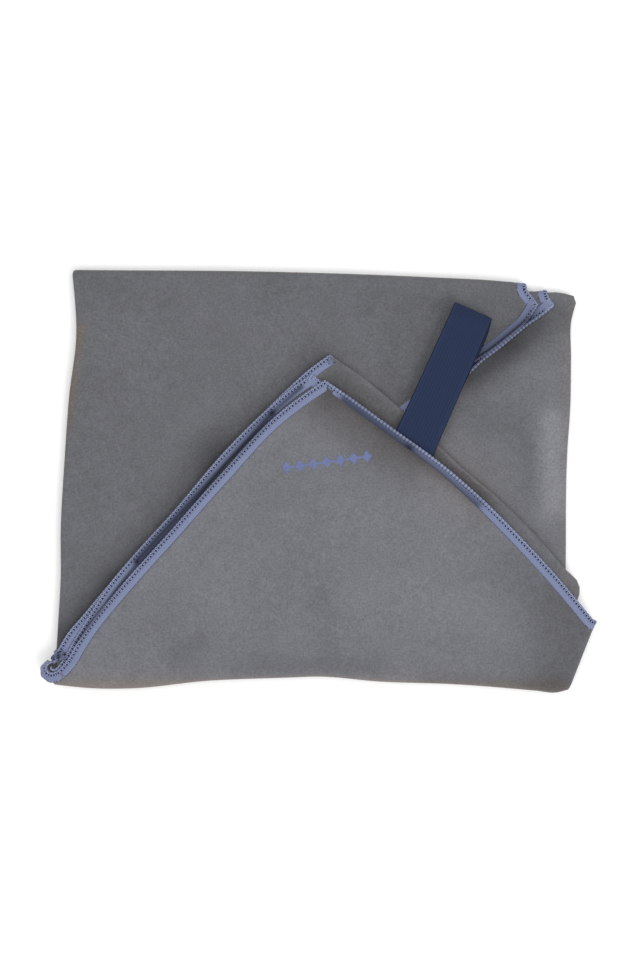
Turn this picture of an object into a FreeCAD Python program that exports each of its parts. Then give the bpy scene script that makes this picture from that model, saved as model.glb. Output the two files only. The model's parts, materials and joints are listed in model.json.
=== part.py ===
import FreeCAD, Part
import math
import os

# A quick dry towel: one brushed microfibre cloth with overlocked edges, folded to a
# twelve-layer block. Its last fold is a corner flap that carries the elastic hanging loop.
# Millimetres, +Z up, towel lying flat. The origin is under the middle of the folded block.

# Cloth and its stack of layers
CLOTH = 0.8  # thickness of one layer
PITCH = 1.0  # layer to layer, with the air between them
PANEL = 4.0  # height of a panel of four layers
BACK_Z = 0.0
FRONT_Z = BACK_Z + PANEL
FLAP_Z = FRONT_Z + PANEL
EDGING = 5.8  # width of the overlock stitching
PRINT_FILM = 0.1

# Folds: the straight lines where the layers end and the rounded folds begin
FOLD_Y = -119.1  # bottom fold, about which the flap opens
FOLD_X = (-158.0, 147.0)
LEFT_LINE = ((-156.0, FOLD_Y), (-143.5, 121.1))
RIGHT_LINE = ((148.2, 99.0), (146.5, FOLD_Y))
TOP_LINE = ((-143.5, 121.1), (111.0, 114.4))

# Corners of the block where the top fold ends
TOP_STEP = ((113.0, 114.3), (126.0, 111.2), (146.5, 109.0))
FOLD_BUMP = (150.8, 104.0)

# Overlocked edges, outer line, listed so that the cloth lies on the right of the walk
UPPER_HEM = ((113.5, 116.2), (128.3, 102.9), (107.0, 87.5), (48.0, 44.0), (-60.0, -37.0), (-151.5, -104.0))
LOWER_HEM = ((128.0, 110.6), (138.6, 104.6), (125.5, 92.0), (87.6, 62.3), (-50.0, -42.5), (-152.0, -114.9))

# Flap edges, from the corner of each layer
TOP_CORNER = (2.9, 58.4)
TOP_SIDE_HEM = (
    TOP_CORNER, (32.3, 36.2), (70.0, 10.7), (92.9, -9.7), (116.4, -32.6), (139.4, -57.3), (162.5, -83.8),
)
TOP_END_HEM = ((-157.5, -115.0), (-142.3, -95.0), (-89.4, -31.5), (-58.2, 3.2), (-25.9, 37.3), TOP_CORNER)
SECOND_CORNER = (-1.0, 57.5)
SECOND_SIDE_HEM = (SECOND_CORNER, (30.0, 33.5), (62.0, 11.0), (90.0, -12.5), (137.0, -60.5), (156.5, -84.0))
SECOND_END_HEM = (
    (-160.8, -115.2), (-145.5, -95.0), (-92.4, -31.5), (-60.2, 5.2), (-28.9, 39.3), SECOND_CORNER,
)
APEX = (5.6, 73.0)
PAIR_FOLD = (APEX, (44.7, 42.6), (83.5, 5.6), (116.4, -23.2), (151.0, -58.5), (153.0, -64.0))
PAIR_END_HEM = ((-162.5, -112.6), (-147.6, -90.3), (-87.0, -18.5), (-56.4, 17.3), (-31.2, 42.0), APEX)
FLAP_RIGHT = ((159.3, -89.7), (154.6, -104.4), (147.0, FOLD_Y))

# Elastic hanging loop, sewn in under the side hem
LOOP_WIDTH = 25.0
LOOP_THICK = 1.3
LOOP_ROOT = (55.8, 22.2)  # middle of the band where it leaves the hem
LOOP_DIRECTION = (0.405, 0.9143)
LOOP_HEM_GAP = 1.5  # from the hem's outer line to the sewn end, so that the loop can swing
LOOP_SAMPLES = 40
# Centre line of the band as (distance from the hem, height), out along the lower leg and back
LOOP_LINE = (
    (-7.0, 11.35), (20.0, 10.9), (45.0, 10.1), (68.0, 9.4), (80.5, 10.0), (84.2, 12.6),
    (80.5, 15.3), (68.0, 16.4), (45.0, 15.8), (20.0, 13.6), (-7.0, 12.85),
)

# Print near the flap's corner: a bar with a lozenge chain, no lettering
PRINT_CENTRE = (4.0, 10.5)
PRINT_TURN = 8.0
PRINT_LENGTH = 53.0
PRINT_BAR = 1.2
LOZENGE_COUNT = 7
LOZENGE = (5.4, 7.4)  # width and height


def save(node, shape):
    """Write one node's solid to parts/."""
    if len(shape.Solids) == 1:
        shape = shape.Solids[0]
    shape.exportStep("parts/" + node + ".step")


def unit(a, b):
    """Unit vector in the plane from point a to point b."""
    dx, dy = b[0] - a[0], b[1] - a[1]
    length = math.hypot(dx, dy)
    return dx / length, dy / length


def inset(line, distance):
    """The open line moved to the right of its walk, with mitred corners."""
    moved = []
    for i, point in enumerate(line):
        before = unit(line[max(i - 1, 0)], line[max(i, 1)])
        after = unit(line[min(i, len(line) - 2)], line[min(i + 1, len(line) - 1)])
        nx, ny = before[1] + after[1], -before[0] - after[0]
        scale = 2.0 * distance / (nx * nx + ny * ny)
        moved.append((point[0] + nx * scale, point[1] + ny * scale))
    return moved


def plate(outline, low, thick=CLOTH):
    """A flat layer with this plan outline, standing on height low."""
    corners = [FreeCAD.Vector(x, y, low) for x, y in outline]
    face = Part.Face(Part.makePolygon(corners + corners[:1]))
    return face.extrude(FreeCAD.Vector(0, 0, thick))


def level(panel_z, index):
    """Height of the underside of layer index in a panel, counted from below."""
    return panel_z + index * PITCH


def fold_bar(line, low, high):
    """The rounded fold that joins layers from low to high, to the left of the line's walk."""
    radius = (high - low) / 2.0
    (x0, y0), (x1, y1) = line
    dx, dy = unit(*line)
    out = (-dy * radius, dx * radius)
    bottom = FreeCAD.Vector(x0, y0, low)
    middle = FreeCAD.Vector(x0 + out[0], y0 + out[1], low + radius)
    top = FreeCAD.Vector(x0, y0, high)
    arc = Part.Arc(bottom, middle, top).toShape()
    face = Part.Face(Part.Wire([arc, Part.makeLine(top, bottom)]))
    return face.extrude(FreeCAD.Vector(x1 - x0, y1 - y0, 0))


def panel_outline(bump=()):
    """Plan outline of a whole panel of the block, clockwise from the bottom left, with any corner bump."""
    return [*LEFT_LINE, TOP_LINE[1], *TOP_STEP, *bump, *RIGHT_LINE]


def back_panel():
    """Four whole layers, the nested fold on their left and the inner fold on their right."""
    for index in range(4):
        save("back_layer_%d" % (index + 1), plate(panel_outline(), level(BACK_Z, index)))
    top = level(BACK_Z, 3) + CLOTH
    save("back_left_fold", fold_bar(LEFT_LINE, BACK_Z, top))
    save("back_right_fold", fold_bar(RIGHT_LINE, level(BACK_Z, 2), top))


def hemmed_front_layer(name, hem, index, top_right):
    """A front layer that ends at a diagonal overlocked edge, and the edging round it."""
    cloth_edge = inset(hem, EDGING)
    low = level(FRONT_Z, index)
    outline = cloth_edge + [LEFT_LINE[1], TOP_LINE[1]] + top_right
    save("front_%s_layer" % name, plate(outline, low))
    save("front_%s_edging" % name, plate(list(hem) + cloth_edge[::-1], low))


def front_panel():
    """The lower fold pair, then two layers that stop at the diagonal hems."""
    pair_outline = panel_outline([FOLD_BUMP])
    save("front_pair_lower_layer", plate(pair_outline, level(FRONT_Z, 0)))
    save("front_pair_upper_layer", plate(pair_outline, level(FRONT_Z, 1)))
    save("front_right_fold", fold_bar(RIGHT_LINE, FRONT_Z, level(FRONT_Z, 1) + CLOTH))
    hemmed_front_layer("middle", LOWER_HEM, 2, [TOP_STEP[0]])
    hemmed_front_layer("top", UPPER_HEM, 3, [])
    top = level(FRONT_Z, 3) + CLOTH
    save("front_left_fold", fold_bar(LEFT_LINE, FRONT_Z, top))
    save("top_fold", fold_bar(TOP_LINE, BACK_Z, top))


def flap_hemmed_layer(name, side_hem, end_hem, index, right_edge):
    """A flap layer with an overlocked side and end that meet at its corner."""
    hem = list(end_hem) + list(side_hem[1:])
    cloth_edge = inset(hem, EDGING)
    low = level(FLAP_Z, index)
    start = (cloth_edge[0][0], FOLD_Y)
    save("flap_%s_layer" % name, plate([start] + cloth_edge + right_edge, low))
    corner = len(end_hem) - 1
    save("flap_%s_end_edging" % name, plate(hem[:corner + 1] + cloth_edge[corner::-1], low))
    save("flap_%s_side_edging" % name, plate(hem[corner:] + cloth_edge[:corner - 1:-1], low))


def flap_pair():
    """The two lowest flap layers, joined by the grey fold along the flap's side."""
    cloth_edge = inset(PAIR_END_HEM, EDGING)
    outline = [(cloth_edge[0][0], FOLD_Y)] + cloth_edge + list(PAIR_FOLD[1:]) + [FLAP_RIGHT[2]]
    edging = list(PAIR_END_HEM) + cloth_edge[::-1]
    for index, name in enumerate(("lower", "upper")):
        low = level(FLAP_Z, index)
        save("flap_pair_%s_layer" % name, plate(outline, low))
        save("flap_pair_%s_edging" % name, plate(edging, low))


def bottom_fold():
    """The roll of cloth that joins the flap to the back panel, and that bends as it opens."""
    line = ((FOLD_X[1], FOLD_Y), (FOLD_X[0], FOLD_Y))
    top = level(FLAP_Z, 3) + CLOTH
    save("bottom_fold", fold_bar(line, BACK_Z, top))


def corner_print():
    """A thin printed bar with a chain of lozenges along it."""
    low = level(FLAP_Z, 3) + CLOTH
    half = PRINT_LENGTH / 2.0
    bar = Part.makeBox(PRINT_LENGTH, PRINT_BAR, PRINT_FILM, FreeCAD.Vector(-half, -PRINT_BAR / 2.0, 0))
    step = (PRINT_LENGTH - LOZENGE[0]) / (LOZENGE_COUNT - 1)
    for i in range(LOZENGE_COUNT):
        x = -half + LOZENGE[0] / 2.0 + i * step
        w, h = LOZENGE[0] / 2.0, LOZENGE[1] / 2.0
        bar = bar.fuse(plate(((x - w, 0), (x, h), (x + w, 0), (x, -h)), 0, PRINT_FILM))
    bar = bar.removeSplitter()
    bar.rotate(FreeCAD.Vector(0, 0, 0), FreeCAD.Vector(0, 0, 1), PRINT_TURN)
    bar.translate(FreeCAD.Vector(PRINT_CENTRE[0], PRINT_CENTRE[1], low))
    save("corner_print", bar)


def loop_point(s, z):
    """The point on the strap's left edge at distance s from the hem and height z."""
    ux, uy = LOOP_DIRECTION
    x = LOOP_ROOT[0] + s * ux - LOOP_WIDTH / 2.0 * uy
    y = LOOP_ROOT[1] + s * uy + LOOP_WIDTH / 2.0 * ux
    return FreeCAD.Vector(x, y, z)


def hanging_loop():
    """An elastic band doubled back on itself, its two ends sewn together at the hem."""
    centre = Part.BSplineCurve()
    centre.interpolate([loop_point(s, z) for s, z in LOOP_LINE])
    across = FreeCAD.Vector(LOOP_DIRECTION[1], -LOOP_DIRECTION[0], 0)
    first, last = centre.FirstParameter, centre.LastParameter
    outer, inner = [], []
    for i in range(LOOP_SAMPLES + 1):
        at = first + (last - first) * i / LOOP_SAMPLES
        normal = FreeCAD.Vector(*centre.tangent(at)[0]).cross(across).normalize()
        outer.append(centre.value(at) - normal * (LOOP_THICK / 2.0))
        inner.append(centre.value(at) + normal * (LOOP_THICK / 2.0))
    save("hanging_loop", loop_solid(outer, inner, across).cut(hem_side()))


def hem_side():
    """A block on the hem's side of the sewn end, to trim the band parallel to the hem."""
    hem = TOP_SIDE_HEM[1:3]
    outline = inset(hem, -LOOP_HEM_GAP) + inset(hem, LOOP_WIDTH)[::-1]
    return plate(outline, FLAP_Z, 2.0 * PANEL)


def loop_solid(outer, inner, across):
    """The band between its outer and inner lines, as wide as the elastic."""
    outer_curve, inner_curve = Part.BSplineCurve(), Part.BSplineCurve()
    outer_curve.interpolate(outer)
    inner_curve.interpolate(inner)
    edges = [
        outer_curve.toShape(),
        Part.makeLine(outer[-1], inner[-1]),
        inner_curve.toShape(),
        Part.makeLine(inner[0], outer[0]),
    ]
    face = Part.Face(Part.Wire(Part.__sortEdges__(edges)))
    return face.extrude(across * LOOP_WIDTH)


os.makedirs("parts", exist_ok=True)
back_panel()
front_panel()
flap_hemmed_layer("top", TOP_SIDE_HEM, TOP_END_HEM, 3, list(FLAP_RIGHT))
flap_hemmed_layer("second", SECOND_SIDE_HEM, SECOND_END_HEM, 2, [FLAP_RIGHT[2]])
flap_pair()
bottom_fold()
corner_print()
hanging_loop()
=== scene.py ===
import json

import bmesh
import bpy
import numpy as np
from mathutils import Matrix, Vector


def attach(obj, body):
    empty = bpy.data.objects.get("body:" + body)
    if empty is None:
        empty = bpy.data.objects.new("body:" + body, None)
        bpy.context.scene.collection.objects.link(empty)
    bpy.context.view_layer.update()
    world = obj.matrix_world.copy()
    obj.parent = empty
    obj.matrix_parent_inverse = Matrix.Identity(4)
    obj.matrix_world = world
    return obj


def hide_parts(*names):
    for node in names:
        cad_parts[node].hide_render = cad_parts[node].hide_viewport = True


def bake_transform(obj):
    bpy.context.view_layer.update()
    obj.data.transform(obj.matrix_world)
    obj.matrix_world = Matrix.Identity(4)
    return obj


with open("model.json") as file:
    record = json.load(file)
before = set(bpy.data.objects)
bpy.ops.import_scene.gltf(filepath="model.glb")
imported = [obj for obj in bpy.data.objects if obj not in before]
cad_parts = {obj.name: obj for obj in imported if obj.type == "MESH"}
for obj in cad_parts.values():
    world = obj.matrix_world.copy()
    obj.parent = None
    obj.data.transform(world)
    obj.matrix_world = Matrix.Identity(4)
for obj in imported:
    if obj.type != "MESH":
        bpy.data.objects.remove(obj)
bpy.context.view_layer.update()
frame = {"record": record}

# A folded quick dry towel. One cloth is followed through all its folds: four layers, named
# in the order in which the cloth runs through them (outer, two, one, inner), lie in a back panel,
# turn over the top fold into a front panel, and turn over the bottom roll into a flap.
# Outlines are in millimetres, and meshes in metres.
MM = 0.001
RNG_SEED = 7

# Cloth, stack and folds, in millimetres
CLOTH_THICK = 0.66
FRONT_TOP = 7.8  # height of the front panel's top, and twice the top fold's centre
FLAP_TOP = 11.8
LEVEL = {"outer": 0.4, "inner": 1.4, "one": 2.4, "two": 3.4}  # above the back panel's face
COLUMNS = 112
PANEL_ROWS = 84
FOLD_ROWS = 14
ARC_STEPS = 10
CURVE_SAMPLES = 200
WELD_GAP = 0.02
LEFT = np.array([-1.0, 0, 0])
RIGHT = np.array([1.0, 0, 0])
FOLD_FLAT = 0.92  # how far a fold bulges, as a share of a half circle
SIDE_BULGE = 1.9  # from the last column of a layer to the outside of the fold beside it

# Block outline, as (y, x) down the left and right edges
LEFT_EDGE = [(-119, -158), (-105, -155.8), (-81, -154.1), (-58, -152.9), (-29, -152.9),
             (6, -151.1), (48, -148.2), (88, -143.8), (110, -145), (125, -146.6)]
RIGHT_EDGE = [(-119, 144.4), (-90, 145), (-53, 145.2), (17, 146.2), (45, 148), (72, 148.4),
              (96, 148.9), (101, 150.2), (105, 151.4), (109, 149)]
TOP_LEFT_X = -143.5
BACK_LEFT_X = -156.5
OUTER_TOP_FOLD = [(-143.5, 120.6), (-23.5, 119.4), (62.9, 116.4), (106.4, 114), (115, 113.2), (121.5, 112)]
TOP_FOLD = [(-143.5, 120.6), (-23.5, 119.2), (62.9, 115.4), (106.4, 110.4), (126, 108.8), (140, 109),
            (148, 107)]
ROLL = [(-156.5, -115.4), (-135.8, -117.4), (-112.3, -117.6), (-65.9, -113), (-19.4, -111.2),
        (0, -110.6), (34.7, -113.5), (81.1, -115.2), (127.6, -118.9), (139.4, -120), (146.5, -118.2)]
TOP_RIGHT_X = {"outer": 121.5, "inner": 134, "one": 147.3, "two": 147.3}
BACK_RIGHT_X = {"outer": 145.6, "inner": 144.5, "one": 143.5, "two": 143.5}

# Where the front layers end: two at diagonal hems, two inside the bottom roll
OUTER_FRONT_HEM = [(-150, -106), (-60, -41), (20, 17), (53.8, 41.8), (91.5, 70.1), (104.5, 78.7), (112.2, 85),
                   (121.5, 93.4), (128.4, 103.4)]
INNER_FRONT_HEM = [(-150, -110), (-50, -41), (56, 38), (87, 62.4), (95, 70), (104, 76.7), (113, 84),
                   (122, 91.3), (129, 96), (137.8, 102.6)]
PAIR_FRONT_END = [(-153, -108), (-66, -107), (0, -105.5), (80, -109), (145, -112)]

# Flap: the end hem from the tip to the corner, then the side hem or the side fold
OUTER_END = [(-153.4, -111.6), (-149, -107), (-142.7, -96.5), (-135.8, -86), (-120.9, -67.5), (-105.5, -49.8),
             (-89.6, -32.2), (-58.2, 3.2), (-26, 37.3), (-8.8, 50.6), (2.9, 58.4)]
OUTER_SIDE = [(2.9, 58.4), (23.5, 43.4), (43.5, 28.8), (65.3, 13.2), (92.9, -9.7), (116.4, -32.6),
              (139.4, -57.3), (160.2, -82)]
INNER_END = [(-152.6, -108.2), (-149.6, -103.6), (-144.6, -94.6), (-138, -84), (-125.4, -63.7), (-109.9, -45),
             (-86.4, -19.1), (-55.8, 16.7), (-30.8, 41.6), (-15, 55), (-4.5, 62)]
INNER_SIDE = [(-4.5, 62), (2, 56.4), (22, 41.2), (42, 26.4), (63.6, 11), (91, -12), (114.5, -35),
              (137, -59.5), (157, -82)]
TWO_END = [(-153, -101.6), (-146.8, -91), (-139.2, -82), (-124.8, -64.6), (-108.2, -46.8), (-84.7, -20.8),
           (-54.2, 14.8), (-30, 41), (-5.5, 65), (5.4, 73)]
ONE_END = [(-154.2, -100.6), (-148, -90), (-140.4, -81.2), (-125.8, -63.7), (-109.2, -46), (-85.7, -20),
           (-55.2, 15.6), (-31, 41.6), (-19, 53.4), (-4.8, 66), (5.4, 73.2)]
SIDE_FOLD = [(5.4, 73), (25.9, 58.3), (44.7, 42.6), (68.2, 19.9), (83.5, 5.6), (104.7, -12.4),
             (127.6, -35.4), (136.5, -45.6), (145, -55), (150.2, -60), (151.6, -64.4), (150, -71)]
FRONT_ENDS = {"outer": OUTER_FRONT_HEM, "inner": INNER_FRONT_HEM,
              "one": PAIR_FRONT_END, "two": PAIR_FRONT_END}
FLAP_ENDS = {
    "outer": (OUTER_END, OUTER_SIDE),
    "inner": (INNER_END, INNER_SIDE),
    "one": (ONE_END, SIDE_FOLD),
    "two": (TWO_END, SIDE_FOLD),
}

# The tip, where the end hem curls round from one layer to the next, as (x, y, z)
OUTER_CURL = [(-153.4, -111.6, 11.4), (-156, -113, 12.2), (-158.8, -113.1, 12.8), (-160.4, -111.2, 13),
              (-160.2, -108.9, 13), (-158.2, -107.2, 12.6), (-155.8, -106.6, 11), (-154, -104.4, 9),
              (-153, -101.6, 8.4)]
INNER_CURL = [(-152.6, -108.2, 10.4), (-154.2, -110.3, 11), (-156.3, -111.5, 11.6), (-158, -110.9, 11.8),
              (-158.2, -109.5, 11.8), (-156.8, -108.4, 11.4), (-155, -105.2, 10.2), (-154.2, -100.6, 9.4)]
# How far the curl's cloth drops outside its edge: shares of the curl, and angles below level
CURL_DROP = ((0, 0.15, 0.3, 0.5, 0.7, 1), (-0.15, 0.0, 0.5, 1.15, 1.4, 1.4))
CURL_TAIL = (-0.2, -0.8, -0.55)  # the way to the cloth at the curl's far end
CURL_START_RISE = 0.17
TAIL_START, TAIL_LENGTH = 0.6, 0.2  # shares of the curl
CURL_IN, CURL_OUT = 0.125, 0.25  # the shares in which the drop sets in and fades
END_RISE = {"outer": 2.0, "inner": 0.2, "one": 0.0, "two": 0.0}  # how far the flap's end hems stand up
END_RISE_REACH = 9
END_RISE_FULLNESS = 0.7
FOLD_PUFF = {"outer": 0, "inner": 0, "one": 1.0, "two": 0}  # how far a layer swells along the side fold
FOLD_PUFF_REACH = 3.5
FOLD_PUFF_START = 0.05  # the share of a layer in which the swell sets in
# How far a hem curls up, as (x, angle)
SIDE_CURL = [(3, 0.0), (9, 0.8), (17, 1.35), (40, 1.48), (75, 1.42), (100, 0.8), (125, 0.1), (165, 0.0)]
FRONT_CURL = {
    "outer": [(-152, 0.0), (30, 0.0), (56, 0.5), (90, 0.95), (120, 0.9), (129, 0.2)],
    "inner": [(-152, 0.0), (30, 0.0), (60, 0.7), (92, 1.15), (128, 0.9), (139, 0.1)],
}
LEAST_TURN = 1e-3
CURL_EASE = 15  # how far into the panel a curl lets the cloth out
CURL_CENTRES = {"outer": (-157.2, -110.2), "inner": (-156.6, -109.6)}
LIP_RADIUS = 2.2  # the flap's right edge, turned under
LIP_TURN = np.radians(120)
LIP_OUTWARD = np.array([0.927, -0.373, 0])
LIP_COLUMNS = 8

# Soft relief of the stack: each swell is (x, y, radius along x, radius along y, height at the top)
SWELLS = [(25, -62, 75, 36, 1.1), (-88, -88, 8, 14, -0.7), (-60, -75, 26, 20, 0.4), (100, -80, 30, 20, 0.5),
          (-95, 70, 50, 40, 0.5), (20, 90, 45, 22, 0.35), (-45, 22, 14, 14, 0.6)]
RIPPLES = 9
RIPPLE_HEIGHT = 0.16
RIPPLE_WAVES = (45.0, 120.0)
MOST_RELIEF = 1.05  # the relief's greatest share, above the flap's top

# The two faces of a brushed cloth catch the light differently, and each fold turns it over
NAP = {"stack_outer": 0.8, "stack_inner": 0.82, "stack_pair": 0.95, "flap_outer": 1.0, "flap_inner": 0.8,
       "flap_pair": 0.83}
# Where the closed towel is lighter or darker: painted shade beside and under the hems and where the cloth
# slopes away from the lamps, and a few lighter and darker patches. Each stroke is (x, y, x, y, radius,
# change).
STACK_STROKES = [(-155, -100, -60, 12, 14, -0.36), (-60, 12, -2, 66, 14, -0.36), (30, 104, 115, 104, 9, -0.1),
                 (45, 85, 40, 50, 12, -0.14), (88, 60, 112, 80, 11, -0.34), (112, 80, 142, 98, 11, -0.3),
                 (95, 40, 118, 30, 14, -0.14), (137, 34, 138, -14, 9, 0.45), (124, 18, 124, -2, 6, -0.14),
                 (-140, 112, -110, 112, 12, -0.08), (-151, -91, -122, -57, 5, -0.28),
                 (90, 60, 128, 92, 6, -0.3), (104, 66, 126, 80, 9, -0.12)]
PAIR_STROKES = [(8, 54, 92, -10, 12, -0.42)]
FLAP_STROKES = [(2, 46, 50, 12, 15, -0.36), (8, 54, 92, -10, 5.5, -0.48), (1, 50, 8, 44, 6, -0.12),
                (-106.1, -49.2, -26.6, 37.8, 2, -0.85), (150, -70, 142, -118, 26, -0.36),
                (112, -50, 130, -70, 12, -0.14), (0, -66, 6, -98, 9, -0.14), (-70, -92, -84, -104, 8, -0.16),
                (-48, -109, 32, -109, 7, -0.15), (-90, -24, -64, -52, 17, 0.1), (40, -66, 96, -78, 18, 0.06),
                (-150, -104, -128, -104, 14, 0.05), (60, -119, 140, -121, 5, -0.2),
                (-159, -110, -154, -105, 3.4, -0.8)]
# Where the cloth takes a warmer tone, as (x, y, x, y, radius, change from 1)
WARM_STROKES = [(6, 50, 90, -6, 14, -0.3), (-150, -120, 142, -121, 5, -0.5), (147, -70, 149, 100, 5, -0.3),
                (-141, 90, -150, 30, 3.5, -0.8)]

# Overlock stitching
STITCH = 2.3
EDGING_WIDTH = 5.8
STEPS_PER_STITCH = 6
LOOP_THREAD = 0.3  # radius of a purl loop's thread bundle
# Band section from the needle line out to the purl loops, as (distance inward, height)
BAND_SECTION = [(5.7, 0.3), (5.35, 0.46), (4.6, 0.64), (3.4, 0.7), (2.6, 0.66), (2.05, 0.56), (1.8, 0.3)]
# The core's very dark colour is painted shade, seen in the holes between loops and between beads.
CORE_SECTION = [(2.4, 0.42), (1.0, 0.5), (0.3, 0.5), (-0.1, 0.4), (-0.25, 0.16)]
RIM_SECTION = [(0.6, 0.46), (0.3, 0.64), (-0.05, 0.58), (-0.32, 0.26)]
NEEDLE_SECTION = [(5.68, 0.3), (5.6, 0.38), (5.2, 0.38)]
SATIN, CORE, PURL = 0, 1, 2  # the edging's materials
RIM_SPREAD = 0.75  # how much wider the rim lies where the hem stands up
RIM_RIDGE = 0.6  # how much deeper its ridges are there, as a share of the spread
FULL_CURL = 1.2
# Each band of the edging, as (material, section, ridges per stitch, ridge, scallop, spread)
BANDS = [(SATIN, BAND_SECTION, 2, 0.14, 0.22, 0), (CORE, CORE_SECTION, 1, 0, 0, 0),
         (CORE, NEEDLE_SECTION, 1, 0, 0, 0), (PURL, RIM_SECTION, 1, 0.4, 0, RIM_SPREAD)]
SCALLOP_DEPTH = 0.5  # how near the needle line the scalloped points lie
# A purl loop: its half pitch, the distances inward of its roots and its reach back out, and its height
PURL_HALF_PITCH = 0.84
PURL_ROOT, PURL_REACH = 2.15, 1.8
PURL_FULLNESS = 0.6
PURL_HEIGHT, PURL_DIP = 0.56, 0.03
PURL_STEPS, PURL_SIDES = 8, 5
SHORTEST_STEP = 0.05  # closer points of an edge are left out
FLATTEST_BEND = 1e-4  # stands in for a straight section
REST_GAP = 0.05  # between the lowest thread and the floor
# Where the edging is duller, as (x, y, x, y, radius, change): in the shade of the hem above it, or turned
# away. Only the two upper layers take this shade, those above the height of a panel's middle.
FLAP_SHADES = [(14, 46.5, 52, 18.5, 3.2, -0.7), (52, 18.5, 92, -14.5, 3.2, -0.62),
               (-107.6, -47.7, -28.1, 39.3, 2.3, -0.84), (-28.1, 39.3, -11, 54.5, 1.5, -0.7),
               (-143.5, -95.7, -107.1, -48.1, 1.2, -0.6), (-157, -104.5, -153, -102.5, 1.9, -0.7)]
STACK_SHADES = [(88, 66.4, 126, 97, 7, -0.42), (88, 67.4, 124, 95.8, 1.3, -0.6)]
SHADED_ABOVE = {"stack": 5.9, "flap": 9.9}

# Elastic hanging loop
STRAP_THICK = 1.15
STRAP_HALF_WIDTH = (12.9, 11.9)  # at the hem and at the far end
STRAP_RIBS = 14
STRAP_RIB_HEIGHT = 0.16
RIB_STEPS = 8
RIB_FULLNESS = 0.6
STRAP_ROWS = 240
STRAP_REACH = 84  # from the hem to the far end
LOWER_LEG_SHIFT = 1.7  # how far the lower leg shows beside the upper
HEM_SLANT, HEM_SLANT_REACH = 0.176, 12  # how the sewn end follows the hem
STRAP_ROOT = (55.8, 22.2)
STRAP_DIRECTION = (0.405, 0.9143)
STRAP_LINE = [(-2.4, 11), (0, 11.4), (4, 11.6), (20, 11.2), (45, 10.7), (68, 9.8), (80.5, 10.3), (84.2, 12.8),
              (80.5, 15.3), (68, 16.1), (45, 15.6), (20, 14.2), (4, 13), (0, 12.6), (-2.4, 11.8)]

# Print near the flap's corner
PRINT_CENTRE = (4.0, 10.5)
PRINT_TURN = np.radians(8)
PRINT_LENGTH = 53.0
PRINT_BAR = 1.2
LOZENGES = 7
LOZENGE_SIZE = (5.4, 7.4)
LOZENGE_CELLS = 8
BAR_CELLS = (60, 3)
PRINT_LIFT = 0.07
LOZENGE_LIFT = 0.091  # clear of the bar
NEAREST = 4  # points of the flap that set a point of the print
TOUCHING = 0.01

# Colours, as linear red, green and blue
CLOTH_COLOUR = (0.129, 0.131, 0.144)
WARM_TINT = (1.25, 1.0, 0.8, 1)
SATIN_COLOUR = (0.128, 0.152, 0.262)
LOOP_COLOUR = (0.2, 0.23, 0.365)
# The core's very dark navy is painted shade between the loops and beads.
CORE_SHADE_COLOUR = (0.012, 0.016, 0.045)
ELASTIC_COLOUR = (0.012, 0.0215, 0.056)
PRINT_COLOUR = (0.10, 0.125, 0.26)
FLOOR_COLOUR = (0.93, 0.93, 0.93)

# Surfaces. Noise is (repeats per metre, detail) with any variation, and bump is (metres, strength).
CLOTH_MOTTLE = [(40, 3, 0.16), (220, 3, 0.14), (850, 3, 0.42)]
CLOTH_FIBRE = (1700, 4)
CLOTH_BUMP = (0.0002, 0.5)
THREAD_TWIST, THREAD_FUZZ = (1900, 2), (2600, 2)
THREAD_BUMP = (0.0001, 0.4)
FINE_BUMP = (0.0001, 0.5)
THREAD_SHINE = {"Specular IOR Level": 0.5, "Sheen Weight": 0.15}
WARM_BELOW = 0.85  # how upright a face is where the warm tone sets in
ELASTIC_PICKS = 185
ELASTIC_GRAIN, ELASTIC_SPECKLE = (1500, 2), 0.25
# The first is painted shade, darker in the grooves between the ribs; the second is the cross weave.
ELASTIC_GROOVE_SHADE, ELASTIC_WEAVE = -0.09, 0.08
# The selvage and the rim, as (place across, half width, change). The rim's darkening is painted shade
# on the band's side faces.
ELASTIC_LINES = [(0.88, 0.025, 0.2), (1.0, 0.03, -0.65)]

# Room, in metres and watts
FLOOR_SIZE = 30
WORLD_LIGHT = 0.8
LAMPS = [("key", (1.2, -1.5, 2.0), 1.8, 38), ("overhead", (-0.3, 0.5, 2.2), 1.6, 15)]
CAMERA_HEIGHT = 1.2
CAMERA_LENS = 75.9
SENSOR_WIDTH = 36


# ---- curves and grids

def curve_through(points, at):
    """Points at the shares `at` of the length of a smooth curve through these points."""
    points, at = np.asarray(points, float), np.asarray(at, float)
    steps = np.linalg.norm(np.diff(points, axis=0), axis=1)
    knots = np.r_[0, np.cumsum(steps)] / steps.sum()
    slopes = np.gradient(points, knots, axis=0)
    i = np.clip(np.searchsorted(knots, at, side="right") - 1, 0, len(knots) - 2)
    width = knots[i + 1] - knots[i]
    t = ((at - knots[i]) / width)[:, None]
    width = width[:, None]
    rise = points[i + 1] - points[i]
    start, end = slopes[i] * width, slopes[i + 1] * width
    return points[i] + t * start + t**2 * (3 * rise - 2 * start - end) + t**3 * (start + end - 2 * rise)


def value_at(points, x):
    """The smooth height, at x, of a curve given as (x, height) points in order."""
    fine = curve_through(points, np.linspace(0, 1, CURVE_SAMPLES))
    return np.interp(x, fine[:, 0], fine[:, 1])


def mix(a, b, share):
    """Share of the way from a to b."""
    return a + (b - a) * share


def unit(vectors):
    """Vectors at length 1."""
    return vectors / np.maximum(np.linalg.norm(vectors, axis=-1, keepdims=True), 1e-9)


def grid_faces(rows, columns, first=0):
    """Quads of a grid of points stored row by row."""
    r, c = np.meshgrid(np.arange(rows - 1), np.arange(columns - 1), indexing="ij")
    at = (first + r * columns + c).ravel()
    return np.stack([at, at + 1, at + columns + 1, at + columns], axis=1)


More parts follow.
